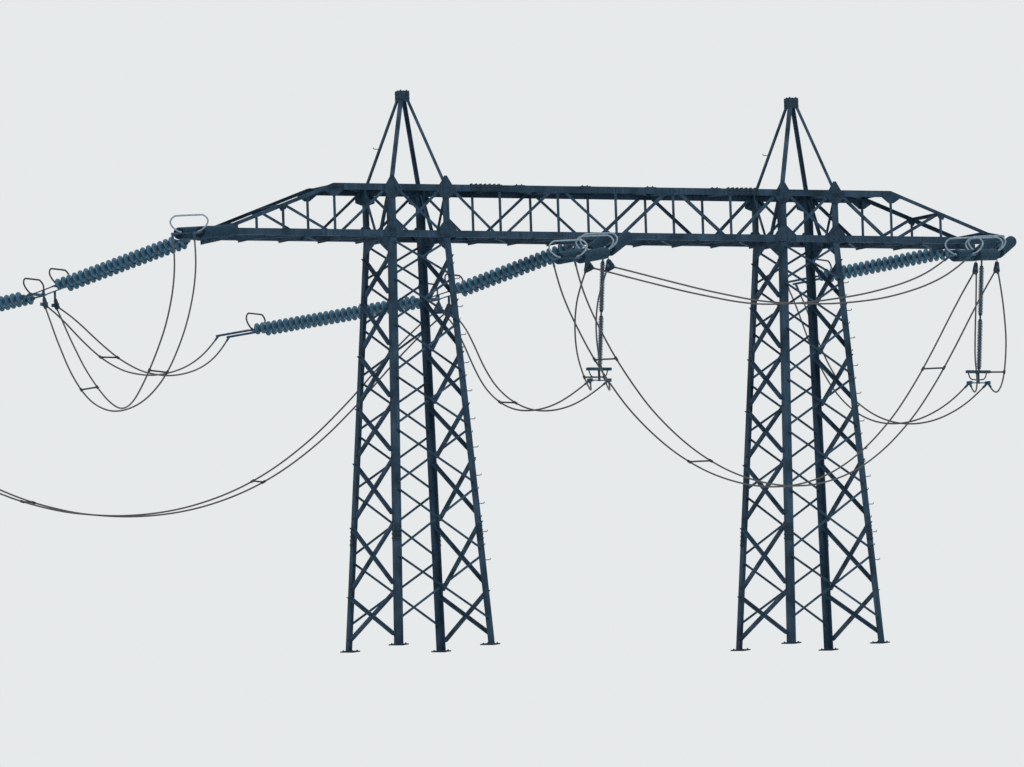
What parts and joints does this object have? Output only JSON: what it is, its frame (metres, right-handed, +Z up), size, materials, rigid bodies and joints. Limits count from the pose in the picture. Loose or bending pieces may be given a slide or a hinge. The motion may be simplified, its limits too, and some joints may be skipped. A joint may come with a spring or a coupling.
{
  "type": "lattice transmission pylon",
  "caption": "Portal lattice pylon: battered masts under a box beam, with tension insulator sets, arcing rings, hanging sets, earth-wire peaks and slack jumper loops.",
  "frame": {"origin": "level underside of the foot plates, midway between the two masts: the centre of the rectangle of the outermost anchor holes", "axes": "+X along the beam, to the right in the picture; +Y from the near face to the far face; +Z up"},
  "size_m": [24.1008, 17.0179, 11.85],
  "materials": {
    "leg_steel": "weathered galvanised angle, dull blue-grey",
    "brace_steel": "weathered galvanised bracing, dull blue-grey",
    "plate_steel": "weathered galvanised plate",
    "fitting_steel": "dull forged and galvanised line fittings",
    "disc_glass": "toughened glass, pale blue-green",
    "rod_sheds": "matt silicone sheds on a rod",
    "conductor": "weathered stranded aluminium"
  },
  "bodies": {
    "root": {"left_mast_legs": "leg_steel", "left_mast_foot_plates": "plate_steel", "left_mast_near_bracing": "brace_steel", "left_mast_far_bracing": "brace_steel", "left_mast_left_bracing": "brace_steel", "left_mast_right_bracing": "brace_steel", "left_peak_legs": "brace_steel", "left_peak_head": "plate_steel", "right_mast_legs": "leg_steel", "right_mast_foot_plates": "plate_steel", "right_mast_near_bracing": "brace_steel", "right_mast_far_bracing": "brace_steel", "right_mast_left_bracing": "brace_steel", "right_mast_right_bracing": "brace_steel", "right_peak_legs": "brace_steel", "right_peak_head": "plate_steel", "beam_near_bottom_chord": "leg_steel", "beam_near_top_chord": "leg_steel", "beam_near_bracing": "brace_steel", "beam_near_gussets": "plate_steel", "beam_far_bottom_chord": "leg_steel", "beam_far_top_chord": "leg_steel", "beam_far_bracing": "brace_steel", "beam_far_gussets": "plate_steel", "beam_bottom_plan_bracing": "brace_steel", "beam_top_plan_bracing": "brace_steel", "beam_hanger_struts": "brace_steel", "far_left_insulators": "disc_glass", "far_left_fittings": "fitting_steel", "far_middle_insulators": "disc_glass", "far_middle_fittings": "fitting_steel", "far_right_insulators": "disc_glass", "far_right_fittings": "fitting_steel", "near_left_insulators": "disc_glass", "near_left_fittings": "fitting_steel", "near_middle_insulators": "disc_glass", "near_middle_fittings": "fitting_steel", "near_right_insulators": "disc_glass", "near_right_fittings": "fitting_steel", "hanging_middle_rods": "rod_sheds", "hanging_middle_fittings": "fitting_steel", "hanging_right_rods": "rod_sheds", "hanging_right_fittings": "fitting_steel", "arcing_rings": "fitting_steel", "jumper_near_left_to_far_left": "conductor", "jumper_far_left_to_far_middle": "conductor", "jumper_far_middle_to_far_left": "conductor", "jumper_far_middle_to_hanging_middle": "conductor", "jumper_hanging_middle_to_near_middle": "conductor", "jumper_near_middle_to_near_right": "conductor", "jumper_near_middle_to_right_clamp": "conductor", "jumper_far_right_to_hanging_right": "conductor", "jumper_hanging_right_to_near_right": "conductor"}
  },
  "joints": []
}
